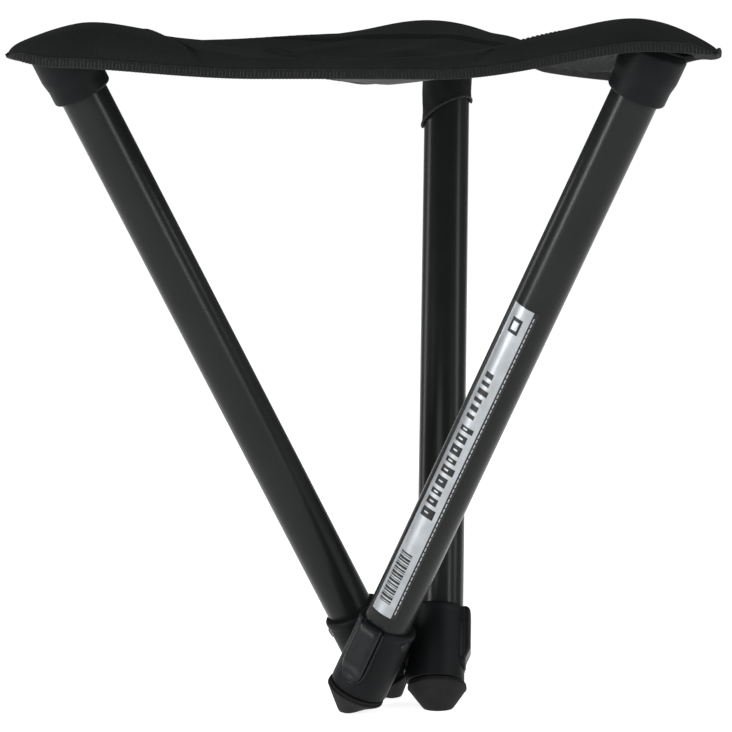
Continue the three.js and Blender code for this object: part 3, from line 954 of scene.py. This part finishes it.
def hem_piece(seat, leg, name, low_t, high_t, signs):
    """Folded hem: a flat band that hangs along the edge."""
    parts = []
    half, height = 0.85 * MM, seat.size.hem_height
    section = rounded([(-half, 0), (half, 0), (half, height), (-half, height)], half * 0.96, 3)
    for sign in signs:
        t = np.linspace(low_t, high_t, 120)
        path = seat.edge_curve(leg, sign, t)
        tangent = np.gradient(path, axis=0)
        tangent[:, 2] = 0
        tangent /= np.linalg.norm(tangent, axis=1)[:, None]
        outward = np.cross(tangent, UP) * sign
        under = seat.hem_at(leg, sign, t)
        rings = []
        for place, out, low, share in zip(path, outward, under, np.clip(0.12 + 6 * t, 0, 1)):
            base = np.array((place[0], place[1], low))
            rings.append([base + out * x + UP * (z * share) for x, z in section])
        part, faces = lofted(rings)
        parts.append((part, turn_round(faces) if sign < 0 else faces))
    return new_object(name, *merged(parts), [finish("binding_tape")])


def stitch_piece(seat, leg, name, low_t, high_t, signs):
    """Whip stitches over the hem: short threads, each a little out of line with the next."""
    parts = []
    thread = 0.3 * MM
    height = seat.size.hem_height
    for sign in signs:
        fine = np.linspace(low_t, high_t, 1500)
        path = seat.edge_curve(leg, sign, fine)
        length = np.concatenate([[0], np.cumsum(np.linalg.norm(np.diff(path, axis=0), axis=1))])
        count = int(length[-1] / seat.size.stitch_pitch)
        at = np.linspace(0.5, count - 0.5, count) * seat.size.stitch_pitch
        for index, distance in enumerate(at):
            t = np.interp(distance, length, fine)
            here, ahead = seat.edge_curve(leg, sign, t), seat.edge_curve(leg, sign, t + 1e-3)
            tangent = (ahead - here) * (1, 1, 0)
            tangent /= np.linalg.norm(tangent)
            out = np.cross(tangent, UP) * sign
            low = float(seat.hem_at(leg, sign, t))
            base = np.array((here[0], here[1], low))
            lean = 0.25 * MM * math.sin(index * 2.4)
            tall = height * (0.9 + 0.1 * math.sin(index * 1.7)) * min(1.0, 0.12 + 6 * t)
            spine = [(-0.2 * MM, -0.15 * MM, 0), (0.65 * MM, -0.1 * MM, 0.1), (0.86 * MM, height * 0.35, 0.5),
                     (0.86 * MM, tall * 0.8, 0.9), (0.4 * MM, tall + 0.2 * MM, 1)]
            rings = []
            for x, z, share in spine:
                centre = base + out * x + UP * z + tangent * (lean + 0.35 * MM) * share
                rings.append(ring_round(centre, tangent, out * 0.8, thread, 5))
            part, faces = lofted(rings)
            parts.append((part, turn_round(faces) if sign < 0 else faces))
    return new_object(name, *merged(parts), [finish("sewing_thread")])


def edge_share(seat, leg, radius):
    """How far along half an edge the outline crosses a radius measured towards the corner."""
    t = np.linspace(0, 1, 400)
    along = (seat.edge_curve(leg, 1, t) - AXIS) @ leg.corner
    return float(np.interp(-radius, -along, t))


def seam_thread(seat, leg):
    """Top-stitching along the corner patch's seam."""
    parts = []
    half_width = 50 * MM
    for y in np.arange(-half_width, half_width, 3.2 * MM):
        rings = []
        for step, lift in ((0.0, -0.3), (0.3, 0.06), (1.1, 0.14), (1.9, 0.06), (2.2, -0.3)):
            yy = y + step * MM
            r = seat.seam[leg.side] - seat.seam_bend[leg.side] * yy * yy + 2.4 * MM
            place = AXIS + leg.corner * r + leg.across * (yy + seat.lean[leg.side])
            z = seat.surface(place[None, :])[0] + lift * MM
            rings.append(ring_round(np.array((place[0], place[1], z)), leg.corner, UP, 0.28 * MM, 5))
        parts.append(lofted(rings))
    return new_object("patch_stitches_" + leg.side, *merged(parts), [finish("sewing_thread")])


def sling_third(seat, leg):
    """A corner's third of the seat: pocket, sling, under-mesh, hems and stitches."""
    size, side = seat.size, leg.side
    count = size.grid
    points = grid_points(seat, leg, count)
    every = grid_faces(count + 1, count + 1)
    normals = vertex_normals(points, every)
    if normals[len(points) // 2, 2] < 0:
        every = turn_round(every)
        normals = -normals
    split = min(corner_points())  # where the pocket that rides on the leg ends
    towards = (points - AXIS) @ leg.corner
    pocket_faces, sling_faces = [], []
    for face in every:
        (pocket_faces if np.mean(towards[list(face)]) > split else sling_faces).append(face)

    share = edge_share(seat, leg, split)
    pocket_points, faces, slots = shell(points, normals, pocket_faces, size.cloth)
    under = tip_lining(seat, leg, points, every, towards)
    slots += [0] * len(under[1])
    faces += [tuple(len(pocket_points) + i for i in face) for face in under[1]]
    pocket_points = np.concatenate([pocket_points, under[0]])
    cloth = finish("woven_polyester")
    pocket = new_object("pocket_" + side, pocket_points, faces, [cloth, cloth], slots=slots)
    settle(pocket, "leg_" + side, "woven", "seat_corner_" + side)
    pocket_hem = hem_piece(seat, leg, "pocket_hem_" + side, 0, share, (-1, 1))
    pocket_stitches = stitch_piece(seat, leg, "pocket_stitches_" + side, 0.03, share, (-1, 1))
    for piece in (pocket_hem, pocket_stitches):
        settle(piece, "leg_" + side, "woven")
    for piece in (pocket, pocket_hem, pocket_stitches):
        squash_pocket(piece)

    sling_points, faces, slots = shell(points, normals, sling_faces, size.cloth)
    sling = new_object("sling_" + side, sling_points, faces, [cloth, finish("knitted_mesh")], slots=slots)
    settle(sling, "flap_" + side, "woven", "seat_panel_" + side)
    under_points = points - normals * 2.6 * MM
    distance, _ = seat.to_edge(points)
    hang = distance / (34 * MM)
    under_points[:, 2] -= 5.0 * MM * ease(hang)
    mesh_faces = [face for face in sling_faces
                  if min(distance[list(face)]) > 2.2 * MM and np.mean(towards[list(face)]) < split - 4 * MM]
    mesh_points, faces, _ = shell(under_points, normals, mesh_faces, 0.8 * MM)
    under_mesh = new_object("under_mesh_" + side, mesh_points, faces, [finish("knitted_mesh")])
    settle(under_mesh, "flap_" + side, "woven")
    sling_hem = hem_piece(seat, leg, "sling_hem_" + side, share, 1, (-1, 1))
    sling_stitches = stitch_piece(seat, leg, "sling_stitches_" + side, share, 1, (-1, 1))
    patch = seam_thread(seat, leg)
    for piece in (sling_hem, sling_stitches, patch):
        settle(piece, "flap_" + side, "woven")
    for piece in (sling, under_mesh, sling_hem, sling_stitches, patch):
        squash_sling(piece)


def rear_tongue(leg):
    """Cloth tongue under the rear pocket: wrapped round the inward side of the tube and cut slantwise."""
    cap_low = leg.span("top_cap_rear")[0]
    tube = leg.radius("outer_tube_rear")
    columns, rows = 40, 14
    points, edge = [], []
    for angle in np.radians(np.linspace(-192, 12, columns)):
        share = (1 + math.cos(angle)) / 2
        low = cap_low - 36 * MM + 16 * MM * share
        out = np.array((math.cos(angle), math.sin(angle)))
        for z in np.linspace(low, cap_low - 0.4 * MM, rows):
            pucker = 0.25 * MM * math.sin(9 * angle + z / (4 * MM))
            points.append((*(out * (tube + 1.15 * MM + pucker)), z))
        edge.append(np.array((*(out * (tube + 1.2 * MM)), low)))
    faces = grid_faces(columns, rows)
    points = np.array(points)
    made, made_faces, _ = shell(points, vertex_normals(points, faces), faces, 0.9 * MM)
    tongue_cloth = new_object("pocket_tongue", made, made_faces, [finish("woven_polyester")], leg.matrix)
    rings = []
    for place in edge:
        out = place * (1, 1, 0) / np.hypot(place[0], place[1])
        rings.append(ring_round(place, out, UP, 0.75 * MM, 8))
    binding = new_object("tongue_binding", *lofted(rings), [finish("knitted_mesh")], leg.matrix)
    for piece in (tongue_cloth, binding):
        settle(piece, "leg_rear", "woven")


def tip_lining(seat, leg, points, faces, towards):
    """Cloth that closes the corner underneath, slung from one hem to the other."""
    back = float((leg.top - AXIS) @ leg.corner) + 16 * MM
    chosen = [face for face in faces if np.mean(towards[list(face)]) > back]
    rows = sorted({i for face in chosen for i in face})
    gaps, hems = [], []
    for sign in (-1, 1):
        t = np.linspace(0, 1, seat.OUTLINE_STEPS)
        path = seat.edge_curve(leg, sign, t)[:, :2]
        line = seat.hem_at(leg, sign, t)
        gap = np.linalg.norm(points[rows, None, :2] - path[None], axis=2)
        gaps.append(gap.min(axis=1) + 0.01 * MM)
        hems.append(line[gap.argmin(axis=1)])
    lower = points.copy()
    lower[rows, 2] = (gaps[1] * hems[0] + gaps[0] * hems[1]) / (gaps[0] + gaps[1]) + 0.9 * MM
    up = np.tile(UP, (len(points), 1))
    made, made_faces, _ = shell(lower, up, chosen, 0.7 * MM)
    return made, made_faces, made_faces[:len(chosen)]


# ---- operators ----------------------------------------------------------------------------------------

class StoolOperator(bpy.types.Operator):
    bl_options = {"REGISTER", "UNDO"}

    def execute(self, context):
        self.build()
        return {"FINISHED"}


class LegOperator(StoolOperator):
    """Makes the same pieces on each leg."""
    pieces = ()

    def build(self):
        for leg in LEGS.values():
            for make in self.pieces:
                make(leg)


class STOOL_OT_stage(StoolOperator):
    """Pale floor, soft lights and the camera"""
    bl_idname = "stool.stage"
    bl_label = "Stage"

    def build(self):
        scene = bpy.context.scene
        stage = scene.stool_stage
        a, e = math.radians(stage.azimuth), math.radians(stage.elevation)
        back = Vector((math.sin(a) * math.cos(e), -math.cos(a) * math.cos(e), math.sin(e)))
        right = Vector((math.cos(a), math.sin(a), 0))
        middle = Vector(AXIS) + Vector((0, 0, 208 * MM))
        camera = bpy.data.objects.new("camera", bpy.data.cameras.new("camera"))
        scene.collection.objects.link(camera)
        camera.data.lens = stage.lens
        camera.data.sensor_width = 36
        camera.data.clip_end = 50
        camera.location = middle + back * stage.distance
        target = Vector(AXIS) + Vector((0, 0, stage.aim_height)) - right * stage.aim_side
        look = (target - camera.location).to_track_quat("-Z", "Y")
        camera.rotation_mode = "QUATERNION"
        camera.rotation_quaternion = look @ Matrix.Rotation(math.radians(stage.roll), 4, "Z").to_quaternion()
        scene.camera = camera

        half = 40.0
        corners = [(-half, -half), (half, -half), (half, half), (-half, half)]
        paper, _, shader = new_material("lit_white_paper", "#f4f4f3", 0.9)
        shader.inputs["Emission Color"].default_value = linear("#ffffff")
        shader.inputs["Emission Strength"].default_value = 0.85
        points = [(x, y, -0.5 * MM) for x, y in corners]
        floor = new_object("floor", points, [(0, 1, 2, 3)], [paper], smooth=False)
        world = bpy.data.worlds.new("studio")
        world.use_nodes = True
        world.node_tree.nodes["Background"].inputs["Color"].default_value = linear("#ffffff")
        world.node_tree.nodes["Background"].inputs["Strength"].default_value = 0.2
        scene.world = world
        scene.view_settings.view_transform = "Standard"
        lights = (  # name, place, width, height, power
            ("front", (-0.3, -2.4, 2.2), 1.2, 1.2, 15),
            ("right_strip", (1.97, -1.0, 0.72), 0.3, 1.4, 17),
            ("left_strip", (-1.64, -1.4, 0.72), 0.3, 1.4, 30),
            ("right_rear", (1.97, 0.27, 1.1), 0.4, 1.0, 7),
            ("left_rear", (-2.08, 0.5, 0.8), 0.4, 1.0, 6),
        )
        for name, place, width, height, power in lights:
            data = bpy.data.lights.new(name, "AREA")
            data.shape = "RECTANGLE"
            data.size, data.size_y = width, height
            data.energy = power
            light = bpy.data.objects.new(name, data)
            light.location = Vector(place) + Vector(AXIS)
            aim = Vector(AXIS) + Vector((0, 0, 0.25)) - light.location
            light.rotation_mode = "QUATERNION"
            light.rotation_quaternion = aim.to_track_quat("-Z", "Y")
            scene.collection.objects.link(light)


class STOOL_OT_finishes(StoolOperator):
    """Materials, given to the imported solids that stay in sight"""
    bl_idname = "stool.finishes"
    bl_label = "Finishes"

    def build(self):
        for maker in MAKERS:
            maker(colours())
        slot_of = {entry["node"]: entry["material_slot"] for entry in frame["record"]["subparts"]}
        for name, node in frame["nodes"].items():
            look = "blackened_steel" if "rivet" in name else SLOT_FINISHES[slot_of[name]]
            for material_slot in node.material_slots:
                material_slot.material = finish(look)


class STOOL_OT_tubes(StoolOperator):
    """Outer and sliding leg tubes"""
    bl_idname = "stool.tubes"
    bl_label = "Tubes"

    def build(self):
        for side, leg in LEGS.items():
            for name, node, body, slot in (("tube_", "outer_tube_", "leg_", "anodised"),
                                           ("sliding_tube_", "inner_tube_", "inner_leg_", "bare_aluminium")):
                tube = tube_piece(leg, name + side, node + side, finish(SLOT_FINISHES[slot]))
                settle(tube, body + side, slot, node + side)


class STOOL_OT_collars(LegOperator):
    """Lower collars with their hinge bosses and button guides"""
    bl_idname = "stool.collars"
    bl_label = "Collars"
    pieces = (collar_piece, guide_piece)


class STOOL_OT_buttons(LegOperator):
    """Long oval release buttons"""
    bl_idname = "stool.buttons"
    bl_label = "Release buttons"
    pieces = (button_piece,)


class STOOL_OT_feet(LegOperator):
    """Rubber feet"""
    bl_idname = "stool.feet"
    bl_label = "Feet"
    pieces = (foot_piece,)


class STOOL_OT_caps(LegOperator):
    """Caps on the legs' upper ends"""
    bl_idname = "stool.caps"
    bl_label = "Top caps"
    pieces = (cap_piece,)


class STOOL_OT_label(StoolOperator):
    """Silver sticker with plain bars"""
    bl_idname = "stool.label"
    bl_label = "Sticker"

    def build(self):
        label_piece(LEGS["right"])


class STOOL_OT_seat(StoolOperator):
    """Sling seat with its pockets, hems, stitches and under-mesh"""
    bl_idname = "stool.seat"
    bl_label = "Seat"

    def build(self):
        seat = Seat()
        for leg in LEGS.values():
            sling_third(seat, leg)
        rear_tongue(LEGS["rear"])


STEPS = (STOOL_OT_stage, STOOL_OT_finishes, STOOL_OT_tubes, STOOL_OT_collars, STOOL_OT_buttons, STOOL_OT_feet,
         STOOL_OT_caps, STOOL_OT_label, STOOL_OT_seat)


class STOOL_PT_panel(bpy.types.Panel):
    bl_label = "Three leg stool"
    bl_idname = "STOOL_PT_panel"
    bl_space_type = "VIEW_3D"
    bl_region_type = "UI"
    bl_category = "Stool"

    def draw(self, context):
        for group in (context.scene.stool_sizes, context.scene.stool_colours, context.scene.stool_stage):
            box = self.layout.box()
            for name in group.__annotations__:
                box.prop(group, name)
        for step in STEPS:
            self.layout.operator(step.bl_idname)


CLASSES = (StoolColours, StoolSizes, StoolStage, *STEPS, STOOL_PT_panel)


def register():
    for item in CLASSES:
        bpy.utils.register_class(item)
    bpy.types.Scene.stool_colours = PointerProperty(type=StoolColours)
    bpy.types.Scene.stool_sizes = PointerProperty(type=StoolSizes)
    bpy.types.Scene.stool_stage = PointerProperty(type=StoolStage)


def unregister():
    for name in ("stool_stage", "stool_sizes", "stool_colours"):
        delattr(bpy.types.Scene, name)
    for item in reversed(CLASSES):
        bpy.utils.unregister_class(item)


def main():
    register()
    for step in STEPS:
        group, name = step.bl_idname.split(".")
        getattr(getattr(bpy.ops, group), name)()


if __name__ == "__main__":
    main()
